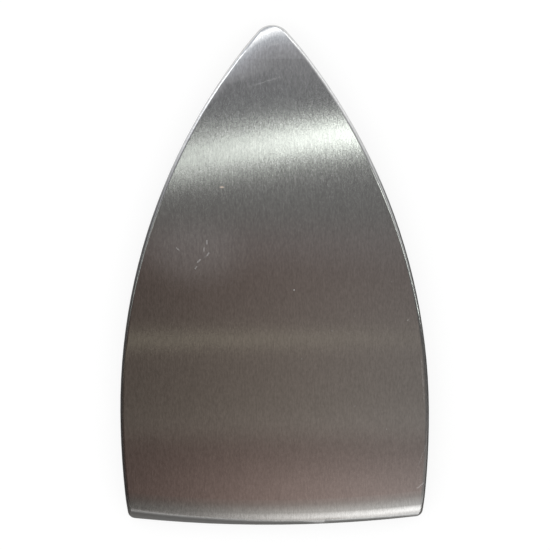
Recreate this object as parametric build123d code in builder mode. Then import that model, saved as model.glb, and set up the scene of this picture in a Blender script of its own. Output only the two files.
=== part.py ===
from build123d import *
import os
from math import asin, cos, degrees, radians, sin, sqrt, tan

# Outline of the working face
length = 200
width = 123
heel_taper = 2.9
heel_bow = 3.3
widest_from_heel = 46
tip_radius = 7.6
heel_corner_radius = 3

# Heights of the casting
overall_height = 13
plate_thickness = 6
flange_thickness = 7.5

# Rounding of the working face
face_edge_radius = 1.6
heel_roll_run = 10.5
heel_roll_drop = 5.3
tip_roll_run = 14
tip_roll_drop = 3.5

# Rim under the cover and the pocket inside it
skirt_land = 3
rim_wall = 2.5
rim_corner_radius = 6
rim_chamfer = 0.5
root_chamfer = 0.8
draft_angle = 3

# Horseshoe ridge with the open channel for the heating element
ridge_inset = 16.5
ridge_width = 13
ridge_gap = 1
ridge_end_from_heel = 22
ridge_chamfer = 0.8
nose_from_tip = 36
channel_width = 8.4
channel_depth = 6.5

# Thermostat pad
pad_width = 24
pad_length = 34
pad_from_heel = 88
pad_gap = 3
pad_corner_radius = 3
pad_hole_spacing = 24
pad_hole_diameter = 3.3
pad_hole_depth = 7

# Bosses for the two cover screws
boss_diameter = 11
cover_hole_diameter = 4.2
cover_hole_depth = 8.5
front_boss_from_tip = 20
rear_boss_from_heel = 16
web_thickness = 3
hole_chamfer = 0.5
chamfer_angle = 90

# Stations along the plate and levels through it
half_width = width / 2
tip_y = length / 2
heel_y = -length / 2
widest_y = heel_y + widest_from_heel
face_z = overall_height
seat_z = face_z - flange_thickness
floor_z = face_z - plate_thickness
clear_z = face_z + overall_height

# Side arcs run square through the widest station and end tangent to the tip arc
tip_centre_y = tip_y - tip_radius
nose_run = tip_centre_y - widest_y
forward_radius = (half_width**2 + nose_run**2 - tip_radius**2) / (2 * (half_width - tip_radius))
forward_centre_x = half_width - forward_radius
tip_reach = forward_radius / (forward_radius - tip_radius)
tip_join_x = forward_centre_x - forward_centre_x * tip_reach
tip_join_y = widest_y + nose_run * tip_reach

# Heel arc bows out between the two rear corners
heel_half = half_width - heel_taper
heel_corner_y = heel_y + heel_bow
heel_radius = (heel_half**2 + heel_bow**2) / (2 * heel_bow)
heel_centre_y = heel_y + heel_radius
aft_run = widest_y - heel_corner_y
aft_radius = (aft_run**2 + heel_taper**2) / (2 * heel_taper)

with BuildSketch() as outline:
    with BuildLine():
        ThreePointArc((-tip_join_x, tip_join_y), (0, tip_y), (tip_join_x, tip_join_y))
        forward_side = TangentArc((half_width, widest_y), (tip_join_x, tip_join_y), tangent=(0, 1))
        aft_side = TangentArc((half_width, widest_y), (heel_half, heel_corner_y), tangent=(0, -1))
        mirror([forward_side, aft_side], about=Plane.YZ)
        ThreePointArc((-heel_half, heel_corner_y), (0, heel_y), (heel_half, heel_corner_y))
    make_face()

# Right half of the horseshoe line, parallel to the side and bent round the nose
leg_radius = forward_radius - ridge_inset
leg_x = half_width - ridge_inset
bend_apex_y = tip_y - nose_from_tip
apex_run = bend_apex_y - widest_y
bend_radius = (leg_radius**2 - forward_centre_x**2 - apex_run**2) / (2 * (leg_radius - apex_run))
bend_reach = leg_radius / (leg_radius - bend_radius)
bend_join_x = forward_centre_x - forward_centre_x * bend_reach
bend_join_y = widest_y + (apex_run - bend_radius) * bend_reach
leg_end_y = heel_y + ridge_end_from_heel
aft_leg_radius = aft_radius - ridge_inset
leg_end_x = leg_x - aft_leg_radius + sqrt(aft_leg_radius**2 - (widest_y - leg_end_y) ** 2)

with BuildLine() as horseshoe:
    half_bend = TangentArc((0, bend_apex_y), (bend_join_x, bend_join_y), tangent=(1, 0))
    forward_leg = TangentArc(half_bend @ 1, (leg_x, widest_y), tangent=half_bend % 1)
    TangentArc(forward_leg @ 1, (leg_end_x, leg_end_y), tangent=forward_leg % 1)

# Ridge with drafted sides that flare at the root, buried in the plate
crest_half = ridge_width / 2
flare_z = floor_z - root_chamfer
flare_half = crest_half + (flare_z - ridge_gap) * tan(radians(draft_angle))
root_z = floor_z + root_chamfer
root_half = flare_half + root_chamfer

with BuildPart() as ridge:
    with BuildSketch(Plane.YZ) as ridge_section:
        with BuildLine():
            Polyline(
                (bend_apex_y - crest_half, ridge_gap),
                (bend_apex_y + crest_half, ridge_gap),
                (bend_apex_y + flare_half, flare_z),
                (bend_apex_y + root_half, floor_z),
                (bend_apex_y + root_half, root_z),
                (bend_apex_y - root_half, root_z),
                (bend_apex_y - root_half, floor_z),
                (bend_apex_y - flare_half, flare_z),
                close=True,
            )
        make_face()
        chamfer(ridge_section.vertices().group_by(Axis.Y)[0], ridge_chamfer)
    sweep(path=horseshoe.line)
    mirror(about=Plane.YZ)

# Round-bottomed channel along the same line
channel_radius = channel_width / 2
channel_centre_z = ridge_gap + channel_depth - channel_radius

with BuildPart() as channel:
    with BuildSketch(Plane.YZ):
        with Locations((bend_apex_y, channel_centre_z)):
            Circle(channel_radius)
            Rectangle(channel_width, channel_depth, align=(Align.CENTER, Align.MAX))
    sweep(path=horseshoe.line)
    mirror(about=Plane.YZ)

# Heel roll profile swings about the centre of the heel arc, from beyond one side to the other
roll_start = heel_radius - heel_roll_run
heel_swing = asin(width / heel_radius)
heel_axis = Axis((0, heel_centre_y, 0), (0, 0, 1))
heel_plane = Plane(
    origin=(0, heel_centre_y, 0),
    x_dir=(-sin(heel_swing), -cos(heel_swing), 0),
    z_dir=(-cos(heel_swing), sin(heel_swing), 0),
)
ski_start_y = tip_y - tip_roll_run

# Places of the pad, the bosses and their webs
pad_y = heel_y + pad_from_heel
front_boss_y = tip_y - front_boss_from_tip
rear_boss_y = heel_y + rear_boss_from_heel
front_web_length = front_boss_y - bend_apex_y
rear_web_length = rear_boss_from_heel - skirt_land - rim_wall / 2

with BuildPart() as soleplate:
    # Flange with the working face on top
    with BuildSketch(Plane.XY.offset(seat_z)) as flange_outline:
        add(outline.sketch)
        fillet(flange_outline.vertices().group_by(Axis.Y)[0], heel_corner_radius)
    extrude(amount=flange_thickness)

    # Heel rolled over along its bowed edge
    with BuildSketch(heel_plane):
        with BuildLine():
            TangentArc((roll_start, face_z), (heel_radius, face_z - heel_roll_drop), tangent=(1, 0))
            Polyline(
                (heel_radius, face_z - heel_roll_drop),
                (heel_radius + heel_roll_run, face_z - heel_roll_drop),
                (heel_radius + heel_roll_run, clear_z),
                (roll_start, clear_z),
                (roll_start, face_z),
            )
        make_face()
    revolve(axis=heel_axis, revolution_arc=degrees(2 * heel_swing), mode=Mode.SUBTRACT)

    # Tip turned away from the cloth like a ski
    with BuildSketch(Plane.YZ):
        with BuildLine():
            TangentArc((ski_start_y, face_z), (tip_y, face_z - tip_roll_drop), tangent=(1, 0))
            Polyline(
                (tip_y, face_z - tip_roll_drop),
                (tip_y + tip_roll_run, face_z - tip_roll_drop),
                (tip_y + tip_roll_run, clear_z),
                (ski_start_y, clear_z),
                (ski_start_y, face_z),
            )
        make_face()
    extrude(amount=half_width, both=True, mode=Mode.SUBTRACT)

    # Working face eased into the sides all round
    walls = soleplate.faces().filter_by(lambda face: abs(face.normal_at().Z) < sin(radians(draft_angle)))
    rim_line = walls.edges().filter_by(Axis.Z, reverse=True)
    upper_line = rim_line.filter_by_position(Axis.Z, seat_z, face_z, inclusive=(False, True))
    fillet(upper_line, face_edge_radius)

    # Rim wall set in from the edge, leaving the land under the cover skirt
    with BuildSketch() as rim_outline:
        add(outline.sketch)
        offset(amount=-skirt_land, kind=Kind.INTERSECTION, mode=Mode.REPLACE)
        fillet(rim_outline.vertices().group_by(Axis.Y)[0], rim_corner_radius)
    extrude(amount=seat_z)

    # Pocket inside the rim
    with BuildSketch() as pocket_outline:
        add(outline.sketch)
        offset(amount=-skirt_land - rim_wall, kind=Kind.INTERSECTION, mode=Mode.REPLACE)
        fillet(pocket_outline.vertices().group_by(Axis.Y)[0], rim_corner_radius - rim_wall)
    extrude(amount=floor_z, mode=Mode.SUBTRACT)
    pocket_floor = soleplate.faces().filter_by(Plane.XY).sort_by(SortBy.AREA)[-2]
    chamfer(pocket_floor.edges(), root_chamfer)
    chamfer(soleplate.faces().sort_by(Axis.Z)[0].edges(), rim_chamfer)

    # Ridge, thermostat pad and bosses standing on the pocket floor
    add(ridge.part)
    with BuildSketch(Plane.XY.offset(pad_gap)):
        with Locations((0, pad_y)):
            RectangleRounded(pad_width, pad_length, pad_corner_radius)
    extrude(amount=floor_z - pad_gap, taper=-draft_angle)
    with BuildSketch(Plane.XY.offset(ridge_gap)):
        with Locations((0, front_boss_y), (0, rear_boss_y)):
            Circle(boss_diameter / 2)
    extrude(amount=floor_z - ridge_gap, taper=-draft_angle)

    # Webs tie the bosses to the ridge and to the rim
    with BuildSketch(Plane.XY.offset(pad_gap)):
        with Locations((0, bend_apex_y)):
            Rectangle(web_thickness, front_web_length, align=(Align.CENTER, Align.MIN))
        with Locations((0, rear_boss_y)):
            Rectangle(web_thickness, rear_web_length, align=(Align.CENTER, Align.MAX))
    extrude(amount=floor_z - pad_gap)

    # Channel for the element
    add(channel.part, mode=Mode.SUBTRACT)

    # Tapping holes, drilled up into the back and eased at the mouth
    with Locations(*[Location((0, y, ridge_gap), (180, 0, 0)) for y in (front_boss_y, rear_boss_y)]):
        CounterSinkHole(
            radius=cover_hole_diameter / 2,
            counter_sink_radius=cover_hole_diameter / 2 + hole_chamfer,
            depth=cover_hole_depth,
            counter_sink_angle=chamfer_angle,
        )
    with Locations(Location((0, pad_y, pad_gap), (180, 0, 0))):
        with GridLocations(0, pad_hole_spacing, 1, 2):
            CounterSinkHole(
                radius=pad_hole_diameter / 2,
                counter_sink_radius=pad_hole_diameter / 2 + hole_chamfer,
                depth=pad_hole_depth,
                counter_sink_angle=chamfer_angle,
            )

soleplate.part.label = "soleplate"
os.makedirs("parts", exist_ok=True)
export_step(soleplate.part, "parts/soleplate.step")
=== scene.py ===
import math

import bmesh
import bpy
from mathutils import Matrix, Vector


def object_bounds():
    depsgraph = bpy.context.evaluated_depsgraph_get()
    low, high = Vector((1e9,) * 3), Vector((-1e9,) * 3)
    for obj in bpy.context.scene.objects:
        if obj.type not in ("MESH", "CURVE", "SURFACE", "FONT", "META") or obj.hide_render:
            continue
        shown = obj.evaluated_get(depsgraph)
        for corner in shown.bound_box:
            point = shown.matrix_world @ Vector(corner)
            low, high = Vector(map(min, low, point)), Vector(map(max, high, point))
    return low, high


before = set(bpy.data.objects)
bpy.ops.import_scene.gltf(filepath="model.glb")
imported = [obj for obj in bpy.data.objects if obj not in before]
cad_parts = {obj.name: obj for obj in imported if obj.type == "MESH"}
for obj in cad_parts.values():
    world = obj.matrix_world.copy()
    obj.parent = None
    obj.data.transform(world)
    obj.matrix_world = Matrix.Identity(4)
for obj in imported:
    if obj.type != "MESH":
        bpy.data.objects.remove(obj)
cad_box = [list(corner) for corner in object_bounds()]

# Soleplate: the plate of a plain dry iron, one aluminium die casting. The working face is
# belt-ground and brushed lengthwise, and rolled over at the heel and the tip. The sides and the
# whole back keep the skin they had when they left the die.
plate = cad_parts["soleplate"]
face_z = cad_box[1][2]
mm = 0.001


def linear(hex_colour):
    """Turn an sRGB hex colour into the linear colour that a shader takes."""
    parts = [int(hex_colour[i : i + 2], 16) / 255 for i in (1, 3, 5)]
    return [c / 12.92 if c <= 0.04045 else ((c + 0.055) / 1.055) ** 2.4 for c in parts] + [1.0]


def new_material(name):
    """An empty node material and its node tree."""
    material = bpy.data.materials.new(name)
    material.use_nodes = True
    material.node_tree.nodes.clear()
    return material, material.node_tree


def add_node(tree, kind, inputs=None, **settings):
    """Add a node, give it its settings, then link or set each input that is named."""
    node = tree.nodes.new(kind)
    for key, value in settings.items():
        setattr(node, key, value)
    for key, value in (inputs or {}).items():
        if isinstance(value, bpy.types.NodeSocket):
            tree.links.new(value, node.inputs[key])
        else:
            node.inputs[key].default_value = value
    return node


# Brushed aluminium, ground lengthwise on a belt: its fine parallel lines spread a reflection wide
# across them and keep it narrow along them, so a light shows as a soft band across the plate.
brushed_colour = "#D2D2D1"
brushed_roughness, roughness_spread = 0.14, 0.008
brushed_pull = 1.0
line_size = (0.58 * mm, 1.5 * mm)  # real lines are 0.05 to 0.1 mm apart, so drawn coarser to show
streak_size = (0.6 * mm, 5 * mm)  # longer cuts of the belt's coarse grains
speck_size = 0.5 * mm  # faint unevenness between the lines
line_shade, streak_shade = 0.13, 0.06
streak_tilt, speck_tilt = 0.0008, 0.006

# Die-cast aluminium, as it left the die: a dull, faintly mottled skin that blurs a reflection.
# Its dark grey is partly painted shade: on the edge roundings it stands in for the dark
# surroundings that the edges mirror.
cast_and_shade_colour = "#868583"
cast_roughness = 0.75
cast_grain = 0.7 * mm
cast_shade = 0.06

# The belt reached round the edge until the surface leaned this far, given as the upward part of
# its direction. It reached less far over the sides than over the heel, and further to the right.
# This reach is partly painted shade and light: the darker cast skin beyond it paints shade on the
# edges, and the further reach to the right paints light from that side.
ground_and_painted_light_from, ground_and_painted_light_to = 0.68, 0.80
side_reach_and_shade = -0.2
right_painted_light_gain = 1.4  # for each metre to the right

# Towards the tip it went all the way round the edge: along the plate, and by the upward part.
# The bright ground metal on the edges there is partly a painted highlight.
buffed_and_highlit_from, buffed_and_highlit_to = 18 * mm, 62 * mm
upward_from, upward_to = 0.02, 0.15

# It also eased the left of the tip, over a strip that narrows down the edge.
ease_line = (-0.857, 0.515)  # square to the left edge beside the tip
ease_from = 58.1 * mm
ease_slope = 0.40
ease_end, ease_top = 76 * mm, 87 * mm
ease_width_end, ease_width_top = 1.2 * mm, 7.6 * mm
ease_fade_from, ease_fade_to = 66 * mm, 80 * mm
ease_left, ease_right = -10 * mm, 2.5 * mm

# Marks of use, in millimetres on the face: the two ends of each nick or scratch, half its width
# and how far it dulls the metal. They are too shallow for the mesh.
marks = (
    (8.0, -6.0, 8.0, -6.0, 0.35, 0.50),
    (6.2, 75.2, 6.2, 75.2, 0.30, 0.25),
    (22.6, 30.9, 22.6, 30.9, 0.25, 0.25),
    (47.0, -3.1, 47.0, -3.1, 0.25, 0.25),
    (53.3, -18.3, 53.3, -18.3, 0.30, 0.30),
    (32.2, -16.5, 32.2, -16.5, 0.25, 0.25),
    (23.0, -22.4, 23.0, -22.4, 0.25, 0.20),
    (11.0, -33.5, 11.0, -33.5, 0.25, 0.20),
    (32.0, -52.3, 32.0, -52.3, 0.25, 0.25),
    (44.6, -61.6, 44.6, -61.6, 0.25, 0.25),
    (-26.5, 13.9, -26.5, 12.5, 0.30, 0.34),
    (-27.7, 11.0, -27.7, 9.7, 0.30, 0.30),
    (-38.6, 11.0, -37.6, 10.1, 0.30, 0.28),
    (-26.4, 7.9, -25.9, 8.9, 0.35, 0.34),
    (-27.6, 7.1, -26.4, 7.9, 0.25, 0.20),
    (-30.3, 5.3, -29.2, 6.3, 0.45, 0.32),
    (-31.2, 2.7, -30.6, 3.5, 0.30, 0.32),
    (-11.3, 74.5, -6.0, 76.0, 0.30, 0.10),
    (-6.0, 76.0, 3.0, 78.8, 0.25, 0.16),
    (0.1, 91.7, 2.6, 91.8, 0.25, 0.20),
    (56.7, -85.1, 59.1, -83.1, 0.20, 0.28),
    (57.3, -75.6, 60.0, -68.4, 0.20, 0.12),
    (58.4, -33.8, 59.2, -44.1, 0.20, 0.12),
    (59.2, -44.1, 59.4, -50.9, 0.20, 0.08),
)
mark_core, mark_rim = 0.3, 1.3  # in half widths: the full depth ends, and the mark ends

# A speck of scorched starch stuck to the face, and a patch that handling has dulled: the place
# and the reach in millimetres, the share of the reach that has the full depth, and the depth.
speck_colour = "#E0C4A8"
spots = {
    "speck": ((-20.4, 35.1), (1.3, 0.6), 0.3, 0.6, "LINEAR"),
    "patch": ((-30.0, 9.0), (26.0, 18.0), 0.2, 0.055, "SMOOTHSTEP"),
}

metal, tree = new_material("brushed aluminium")
place = add_node(tree, "ShaderNodeTexCoord")
geometry = add_node(tree, "ShaderNodeNewGeometry")
facing = add_node(tree, "ShaderNodeSeparateXYZ", {0: place.outputs["Normal"]})
split = add_node(tree, "ShaderNodeSeparateXYZ", {0: place.outputs["Object"]})

drawn_noises = []
for width, length in (line_size, streak_size):
    drawn = add_node(
        tree,
        "ShaderNodeMapping",
        {"Vector": place.outputs["Object"], "Scale": (1 / width, 1 / length, 1 / length)},
    )
    drawn_noises.append(
        add_node(
            tree, "ShaderNodeTexNoise", {"Vector": drawn.outputs[0], "Scale": 1.0, "Detail": 2.0}
        )
    )
lines, streaks = drawn_noises
specks, mottle = (
    add_node(
        tree,
        "ShaderNodeTexNoise",
        {"Vector": place.outputs["Object"], "Scale": 1 / size, "Detail": detail},
    )
    for size, detail in ((speck_size, 1.0), (cast_grain, 3.0))
)

# What each noise does: its middle value and how far it swings either way.
noise_low, noise_high = 0.25, 0.75
swing = {}
for name, noise, middle, reach in (
    ("line shade", lines, 1.0, line_shade),
    ("streak shade", streaks, 1.0, streak_shade),
    ("cast shade", mottle, 1.0, cast_shade),
    ("roughness", lines, brushed_roughness, roughness_spread),
    ("streak tilt", streaks, 0.0, streak_tilt),
    ("speck tilt", specks, 0.0, speck_tilt),
):
    swing[name] = add_node(
        tree,
        "ShaderNodeMapRange",
        {
            "Value": noise.outputs["Fac"],
            "From Min": noise_low,
            "From Max": noise_high,
            "To Min": middle - reach,
            "To Max": middle + reach,
        },
        clamp=False,
    ).outputs[0]

# Where the belt went: 1 on the ground metal, 0 on the cast skin. On the edges this is partly
# painted
# shade and light: the darker skin stands in for shade, the bright metal for light.
sideness = add_node(tree, "ShaderNodeMath", {0: facing.outputs["X"]}, operation="ABSOLUTE")
lean = add_node(
    tree,
    "ShaderNodeMath",
    {0: sideness.outputs[0], 1: side_reach_and_shade, 2: facing.outputs["Z"]},
    operation="MULTIPLY_ADD",
)
lean = add_node(
    tree,
    "ShaderNodeMath",
    {0: split.outputs["X"], 1: right_painted_light_gain, 2: lean.outputs[0]},
    operation="MULTIPLY_ADD",
)
ground_and_painted_light = add_node(
    tree,
    "ShaderNodeMapRange",
    {"Value": lean.outputs[0], "From Min": ground_and_painted_light_from, "From Max": ground_and_painted_light_to},
    interpolation_type="SMOOTHSTEP",
)
# The tip's edges: bright ground metal right round, partly a painted highlight.
buffed_and_highlit = add_node(
    tree,
    "ShaderNodeMapRange",
    {"Value": split.outputs["Y"], "From Min": buffed_and_highlit_from, "From Max": buffed_and_highlit_to},
)
upward = add_node(
    tree,
    "ShaderNodeMapRange",
    {"Value": facing.outputs["Z"], "From Min": upward_from, "From Max": upward_to},
)
buffed_and_highlit = add_node(
    tree, "ShaderNodeMath", {0: buffed_and_highlit.outputs[0], 1: upward.outputs[0]}, operation="MULTIPLY"
)
ground_and_painted_light = add_node(
    tree, "ShaderNodeMath", {0: ground_and_painted_light.outputs[0], 1: buffed_and_highlit.outputs[0]}, operation="MAXIMUM"
)

# Colour and roughness of the two finishes.
brushed_shade = add_node(
    tree,
    "ShaderNodeMath",
    {0: swing["line shade"], 1: swing["streak shade"]},
    operation="MULTIPLY",
)
brushed = add_node(
    tree,
    "ShaderNodeVectorMath",
    {0: linear(brushed_colour)[:3], "Scale": brushed_shade.outputs[0]},
    operation="SCALE",
)
# The cast skin, whose darkness on the edge roundings is painted shade.
cast = add_node(
    tree,
    "ShaderNodeVectorMath",
    {0: linear(cast_and_shade_colour)[:3], "Scale": swing["cast shade"]},
    operation="SCALE",
)
# Mixing the two finishes by this mask paints shade and light on the edges into the colour.
colour = add_node(
    tree,
    "ShaderNodeMix",
    {"Factor": ground_and_painted_light.outputs[0], 4: cast.outputs[0], 5: brushed.outputs[0]},
    data_type="VECTOR",
)
rough = add_node(
    tree,
    "ShaderNodeMix",
    {"Factor": ground_and_painted_light.outputs[0], 2: cast_roughness, 3: swing["roughness"]},
)

# Small tilts of the surface: the streaks and specks, too slight to show on the cast skin, and the
# easing beside the tip.
inset = add_node(
    tree,
    "ShaderNodeVectorMath",
    {0: place.outputs["Object"], 1: (*ease_line, 0)},
    operation="DOT_PRODUCT",
)
inset = add_node(
    tree, "ShaderNodeMath", {0: inset.outputs["Value"], 1: ease_from}, operation="SUBTRACT"
)
ease_width, ease_depth, ease_side = (
    add_node(
        tree,
        "ShaderNodeMapRange",
        {
            "Value": split.outputs[axis],
            "From Min": start,
            "From Max": end,
            "To Min": low,
            "To Max": high,
        },
    )
    for axis, start, end, low, high in (
        ("Y", ease_end, ease_top, ease_width_end, ease_width_top),
        ("Y", ease_fade_from, ease_fade_to, 0.0, ease_slope),
        ("X", ease_left, ease_right, 1.0, 0.0),
    )
)
ease = add_node(
    tree, "ShaderNodeMath", {0: inset.outputs[0], 1: ease_width.outputs[0]}, operation="DIVIDE"
)
ease = add_node(tree, "ShaderNodeMath", {0: ease.outputs[0]}, operation="EXPONENT")
for share in (ease_depth, ease_side):
    ease = add_node(
        tree, "ShaderNodeMath", {0: ease.outputs[0], 1: share.outputs[0]}, operation="MULTIPLY"
    )
tilt_y = add_node(tree, "ShaderNodeMath", {0: swing["streak tilt"], 1: swing["speck tilt"]})
tilt_y = add_node(tree, "ShaderNodeMath", {0: tilt_y.outputs[0], 1: ease.outputs[0]})
tilt = add_node(tree, "ShaderNodeCombineXYZ", {"Y": tilt_y.outputs[0]})
normal = add_node(
    tree, "ShaderNodeVectorMath", {0: geometry.outputs["Normal"], 1: tilt.outputs[0]}
)
normal = add_node(tree, "ShaderNodeVectorMath", {0: normal.outputs[0]}, operation="NORMALIZE")

# The lines run lengthwise, and over the edges too.
lengthwise = (0, 1, 0.05)
across = add_node(
    tree,
    "ShaderNodeVectorMath",
    {0: geometry.outputs["Normal"], 1: lengthwise},
    operation="CROSS_PRODUCT",
)

# The spots and the marks scatter light, which the shader gets from a little less metal.
dull = {}
for name, (middle, reach, core, depth, fall) in spots.items():
    spot = add_node(
        tree,
        "ShaderNodeMapping",
        {
            "Vector": place.outputs["Object"],
            "Location": (-middle[0] / reach[0], -middle[1] / reach[1], 0),
            "Scale": (1 / (reach[0] * mm), 1 / (reach[1] * mm), 0),
        },
    )
    spot = add_node(tree, "ShaderNodeVectorMath", {0: spot.outputs[0]}, operation="LENGTH")
    dull[name] = add_node(
        tree,
        "ShaderNodeMapRange",
        {
            "Value": spot.outputs["Value"],
            "From Min": core,
            "From Max": 1.0,
            "To Min": depth,
            "To Max": 0.0,
        },
        interpolation_type=fall,
    )
worn = add_node(
    tree,
    "ShaderNodeMath",
    {0: dull["speck"].outputs[0], 1: dull["patch"].outputs[0]},
    operation="MAXIMUM",
)
on_plan = add_node(
    tree,
    "ShaderNodeVectorMath",
    {0: place.outputs["Object"], 1: (1, 1, 0)},
    operation="MULTIPLY",
)
shortest = 1e-12  # keeps a dot from dividing by nothing
for x1, y1, x2, y2, half_width, depth in marks:
    start, run = (x1 * mm, y1 * mm, 0), ((x2 - x1) * mm, (y2 - y1) * mm, 0)
    run_squared = max(run[0] ** 2 + run[1] ** 2, shortest)
    arm = add_node(
        tree, "ShaderNodeVectorMath", {0: on_plan.outputs[0], 1: start}, operation="SUBTRACT"
    )
    share = add_node(
        tree,
        "ShaderNodeVectorMath",
        {0: arm.outputs[0], 1: [part / run_squared for part in run]},
        operation="DOT_PRODUCT",
    )
    share = add_node(tree, "ShaderNodeClamp", {"Value": share.outputs["Value"]})
    foot = add_node(
        tree, "ShaderNodeVectorMath", {0: run, "Scale": share.outputs[0]}, operation="SCALE"
    )
    gap = add_node(
        tree,
        "ShaderNodeVectorMath",
        {0: arm.outputs[0], 1: foot.outputs[0]},
        operation="DISTANCE",
    )
    mark = add_node(
        tree,
        "ShaderNodeMapRange",
        {
            "Value": gap.outputs["Value"],
            "From Min": mark_core * half_width * mm,
            "From Max": mark_rim * half_width * mm,
            "To Min": depth,
            "To Max": 0.0,
        },
    )
    worn = add_node(
        tree, "ShaderNodeMath", {0: worn.outputs[0], 1: mark.outputs[0]}, operation="MAXIMUM"
    )
worn = add_node(
    tree, "ShaderNodeMath", {0: worn.outputs[0], 1: ground_and_painted_light.outputs[0]}, operation="MULTIPLY"
)
metallic = add_node(tree, "ShaderNodeMath", {0: 1.0, 1: worn.outputs[0]}, operation="SUBTRACT")
colour = add_node(
    tree,
    "ShaderNodeMix",
    {"Factor": dull["speck"].outputs[0], 4: colour.outputs[1], 5: linear(speck_colour)[:3]},
    data_type="VECTOR",
)
shader = add_node(
    tree,
    "ShaderNodeBsdfPrincipled",
    {
        "Base Color": colour.outputs[1],
        "Metallic": metallic.outputs[0],
        "Roughness": rough.outputs[0],
        "Anisotropic": brushed_pull,
        "Normal": normal.outputs[0],
        "Tangent": across.outputs[0],
    },
)
add_node(tree, "ShaderNodeOutputMaterial", {"Surface": shader.outputs[0]})
plate.data.materials.clear()
plate.data.materials.append(metal)

# Table top: a plain board painted matt white, that the plate lies on, back down. It is far wider
# than the plate, so it is the ground of every view, and it keeps the plate's soft shadow.
table_width = 6.0
table_drop = 0.2 * mm
table_white = "#F2F2F2"

# The camera and reflections see this share of it as plain white, so that it stays pale in shadow.
table_lift = 0.75
table_glow = 1.08


def new_stage(name, shape, material):
    """Make an object of a finished bmesh, give it its material and put it in the scene."""
    mesh = bpy.data.meshes.new(name)
    shape.to_mesh(mesh)
    shape.free()
    mesh.materials.append(material)
    board = bpy.data.objects.new(name, mesh)
    bpy.context.scene.collection.objects.link(board)
    return board


table_paint, tree = new_material("matt white paint")
ray = add_node(tree, "ShaderNodeLightPath")
seen = ray.outputs["Is Camera Ray"]
for kind in ("Is Glossy Ray", "Is Transmission Ray"):
    seen = add_node(
        tree, "ShaderNodeMath", {0: seen, 1: ray.outputs[kind]}, operation="MAXIMUM"
    ).outputs[0]
share = add_node(tree, "ShaderNodeMath", {0: seen, 1: table_lift}, operation="MULTIPLY")
matt = add_node(tree, "ShaderNodeBsdfDiffuse", {"Color": linear(table_white)})
white = add_node(tree, "ShaderNodeEmission", {"Strength": table_glow})
painted = add_node(
    tree, "ShaderNodeMixShader", {0: share.outputs[0], 1: matt.outputs[0], 2: white.outputs[0]}
)
add_node(tree, "ShaderNodeOutputMaterial", {"Surface": painted.outputs[0]})

shape = bmesh.new()
bmesh.ops.create_grid(shape, x_segments=1, y_segments=1, size=table_width / 2)
bmesh.ops.translate(shape, vec=(0, 0, cad_box[0][2] - table_drop), verts=shape.verts)
new_stage("table_top", shape, table_paint)

# Room: a plain white studio, its walls painted and evenly lit. It lights the plate from all round
# at the level where a colour shows as it is written.
room = bpy.data.worlds.new("white room")
room.use_nodes = True
room.node_tree.nodes.clear()
walls = add_node(room.node_tree, "ShaderNodeBackground", {"Color": (1, 1, 1, 1), "Strength": 1.0})
add_node(room.node_tree, "ShaderNodeOutputWorld", {"Surface": walls.outputs[0]})
room.cycles.sampling_method = "NONE"
bpy.context.scene.world = room

# Grey tent: plain cloth stretched over and round the plate, so that the metal mirrors a darker
# ground. Lights behind the cloth make a bright band over the plate, and glow at both ends. Only
# reflections show it.
tent_left, tent_right = -0.9, 0.8
tent_back, tent_front = -0.6, 0.75
tent_height = 0.45
tent_top = face_z + tent_height

# The cloth from the back to the front, by metres: rosy, then straw grey, then cool and paler.
tent_grades = (
    (-0.600, "#B0AAA4"),
    (-0.300, "#93867F"),
    (-0.130, "#907A72"),
    (-0.102, "#74635C"),
    (-0.091, "#83786F"),
    (-0.078, "#796E65"),
    (0.000, "#70635D"),
    (0.018, "#7A706D"),
    (0.038, "#787674"),
    (0.108, "#7E7E81"),
    (0.135, "#9F9FA2"),
    (0.300, "#B4B5BB"),
    (0.470, "#D0D4DC"),
)

# How the cloth's light changes along the tent: the axis, where the change starts and ends in
# metres, and the level at each of the two places.
tent_fades = (
    ("to the right", "X", -0.08, 0.06, 0.6, 1.5),
    ("rear share", "Y", 0.035, -0.01, 0.2, 1.05),
    ("rearmost share", "Y", -0.09, -0.13, 0.0, 0.65),
    ("far out", "Y", 0.05, 0.22, 0.6, 1.4),
    ("greyness", "X", -0.02, 0.15, 0.0, 0.8),
    ("band level", "X", -0.09, 0.09, 0.93, 3.25),
    ("straw share", "X", 0.02, 0.11, 1.0, 0.0),
    ("front glow", "Y", 0.47, tent_front, 0.0, 1.3),
    ("left glow share", "Y", 0.26, 0.38, 0.0, 1.0),
    ("high share", "Z", 0.35, 0.43, 0.0, 1.0),
    ("rear glow", "X", -0.12, 0.20, 0.0, 1.2),
    ("rear glow end", "X", 0.22, 0.40, 1.0, 0.0),
    ("rear glow share", "Y", -0.55, tent_back, 0.0, 1.0),
)
far_from, far_to = 0.06, 0.28
rear_glow_power = 1.8

# The bright band: a slightly bowed and slanted strip with soft edges, brighter to the right.
band_colour = "#F8FFF7"
band_y = 0.0769
band_slope = 0.155
band_bow = 0.33
band_reach = 0.09
band_width = 0.0130

# A faint straw-coloured strip over the middle, fading to the right.
straw_colour = "#FFFBDC"
straw_y = -0.0383
straw_width = 0.006
straw_level = 0.16

# The glow to the left in front, which the edge beside the tip mirrors, and the height of the one
# behind, which the heel mirrors.
left_glow_x = -0.46
left_glow_core, left_glow_rim = 0.14, 0.26
left_glow_level = 1.5
rear_glow_z = 0.16
rear_glow_reach = 0.24

tent_cloth, tree = new_material("grey cloth lit from behind")
place = add_node(tree, "ShaderNodeTexCoord")
split = add_node(tree, "ShaderNodeSeparateXYZ", {0: place.outputs["Object"]})
fade = {}
for name, axis, start, end, low, high in tent_fades:
    fade[name] = add_node(
        tree,
        "ShaderNodeMapRange",
        {
            "Value": split.outputs[axis],
            "From Min": start,
            "From Max": end,
            "To Min": low,
            "To Max": high,
        },
    ).outputs[0]

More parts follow.
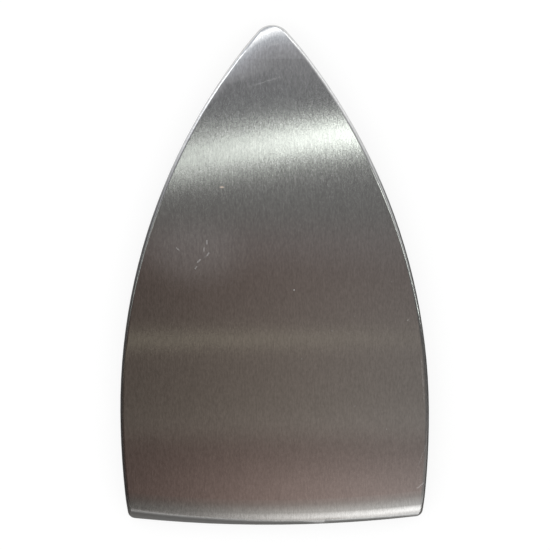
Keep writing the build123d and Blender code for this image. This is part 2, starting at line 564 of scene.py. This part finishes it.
first_y, last_y = tent_grades[0][0], tent_grades[-1][0]
along = add_node(
    tree,
    "ShaderNodeMapRange",
    {"Value": split.outputs["Y"], "From Min": first_y, "From Max": last_y},
)
grade = add_node(tree, "ShaderNodeValToRGB", {"Fac": along.outputs[0]})
stops = grade.color_ramp.elements
stops.remove(stops[1])
for number, (y, hex_colour) in enumerate(tent_grades):
    spot = (y - first_y) / (last_y - first_y)
    stop = stops[0] if number == 0 else stops.new(spot)
    stop.position = spot
    stop.color = linear(hex_colour)

# The cloth grows brighter to the right, most of all behind, and changes again far out.
rearward = add_node(tree, "ShaderNodeMath", {0: fade["rear share"], 1: fade["rearmost share"]})
level = add_node(
    tree,
    "ShaderNodeMix",
    {"Factor": rearward.outputs[0], 2: 1.0, 3: fade["to the right"]},
    clamp_factor=False,
)
off_centre = add_node(tree, "ShaderNodeMath", {0: split.outputs["X"]}, operation="ABSOLUTE")
far_out = add_node(
    tree,
    "ShaderNodeMapRange",
    {
        "Value": off_centre.outputs[0],
        "From Min": far_from,
        "From Max": far_to,
        "To Min": 1.0,
        "To Max": fade["far out"],
    },
)
level = add_node(
    tree, "ShaderNodeMath", {0: level.outputs[0], 1: far_out.outputs[0]}, operation="MULTIPLY"
)
cloth = add_node(
    tree,
    "ShaderNodeVectorMath",
    {0: grade.outputs["Color"], "Scale": level.outputs[0]},
    operation="SCALE",
)
grey = add_node(tree, "ShaderNodeRGBToBW", {"Color": cloth.outputs[0]})
cloth = add_node(
    tree,
    "ShaderNodeMix",
    {"Factor": fade["greyness"], 4: cloth.outputs[0], 5: grey.outputs[0]},
    data_type="VECTOR",
).outputs[1]

# Each light behind the cloth: how far a point is from its middle, then the fall from there.
reach = add_node(
    tree,
    "ShaderNodeClamp",
    {"Value": split.outputs["X"], "Min": -band_reach, "Max": band_reach},
)
slant = add_node(
    tree,
    "ShaderNodeMath",
    {0: reach.outputs[0], 1: -band_bow, 2: band_slope},
    operation="MULTIPLY_ADD",
)
slant = add_node(
    tree,
    "ShaderNodeMath",
    {0: slant.outputs[0], 1: reach.outputs[0], 2: band_y},
    operation="MULTIPLY_ADD",
)
light = {}
for name, axis, middle, core, rim, most, fall in (
    ("band", "Y", slant.outputs[0], 0.0, band_width, 1.0, "SMOOTHSTEP"),
    ("straw", "Y", straw_y, 0.0, straw_width, straw_level, "SMOOTHSTEP"),
    ("left", "X", left_glow_x, left_glow_core, left_glow_rim, left_glow_level, "LINEAR"),
    ("rear", "Z", rear_glow_z, 0.0, rear_glow_reach, 1.0, "SMOOTHSTEP"),
):
    off = add_node(
        tree, "ShaderNodeMath", {0: split.outputs[axis], 1: middle}, operation="SUBTRACT"
    )
    off = add_node(tree, "ShaderNodeMath", {0: off.outputs[0]}, operation="ABSOLUTE")
    light[name] = add_node(
        tree,
        "ShaderNodeMapRange",
        {
            "Value": off.outputs[0],
            "From Min": core,
            "From Max": rim,
            "To Min": most,
            "To Max": 0.0,
        },
        interpolation_type=fall,
    ).outputs[0]
rear_glow = add_node(
    tree, "ShaderNodeMath", {0: fade["rear glow"], 1: rear_glow_power}, operation="POWER"
).outputs[0]

# The band and the straw strip have their own colours. The glows are white.
for hex_colour, factors in (
    (band_colour, (light["band"], fade["band level"])),
    (straw_colour, (light["straw"], fade["straw share"])),
    ("#FFFFFF", (fade["front glow"], fade["high share"])),
    ("#FFFFFF", (light["left"], fade["left glow share"], fade["high share"])),
    ("#FFFFFF", (rear_glow, fade["rear glow end"], fade["rear glow share"], light["rear"])),
):
    strength = factors[0]
    for factor in factors[1:]:
        strength = add_node(
            tree, "ShaderNodeMath", {0: strength, 1: factor}, operation="MULTIPLY"
        ).outputs[0]
    glow = add_node(
        tree,
        "ShaderNodeVectorMath",
        {0: linear(hex_colour)[:3], "Scale": strength},
        operation="SCALE",
    )
    cloth = add_node(tree, "ShaderNodeVectorMath", {0: cloth, 1: glow.outputs[0]}).outputs[0]
lit = add_node(tree, "ShaderNodeEmission", {"Color": cloth, "Strength": 1.0})
add_node(tree, "ShaderNodeOutputMaterial", {"Surface": lit.outputs[0]})

shape = bmesh.new()
bmesh.ops.create_cube(shape, size=1.0)
bmesh.ops.scale(
    shape, vec=(tent_right - tent_left, tent_front - tent_back, tent_top), verts=shape.verts
)
middle = ((tent_left + tent_right) / 2, (tent_back + tent_front) / 2, tent_top / 2)
bmesh.ops.translate(shape, vec=middle, verts=shape.verts)
# The side towards the table is open.
floor_side = [face for face in shape.faces if face.normal.z < -0.5]
bmesh.ops.delete(shape, geom=floor_side, context="FACES")
tent = new_stage("grey_tent", shape, tent_cloth)
tent.visible_camera = False
tent.visible_diffuse = False
tent.visible_shadow = False

# Camera: straight above the plate, as in the photograph, with a long lens. The plate lies a hair
# off centre and off square in the picture.
camera_height = 0.9
view_height = 0.2188
sensor_width = 36.0
camera_x = 0.5 * mm
camera_turn = math.radians(-0.38)
eye = bpy.data.cameras.new("camera")
eye.sensor_width = sensor_width
eye.lens = sensor_width * camera_height / view_height
camera = bpy.data.objects.new("camera", eye)
camera.location = (camera_x, 0.0, face_z + camera_height)
camera.rotation_euler = (0, 0, camera_turn)
bpy.context.scene.collection.objects.link(camera)
bpy.context.scene.camera = camera
bpy.context.scene.view_settings.view_transform = "Standard"
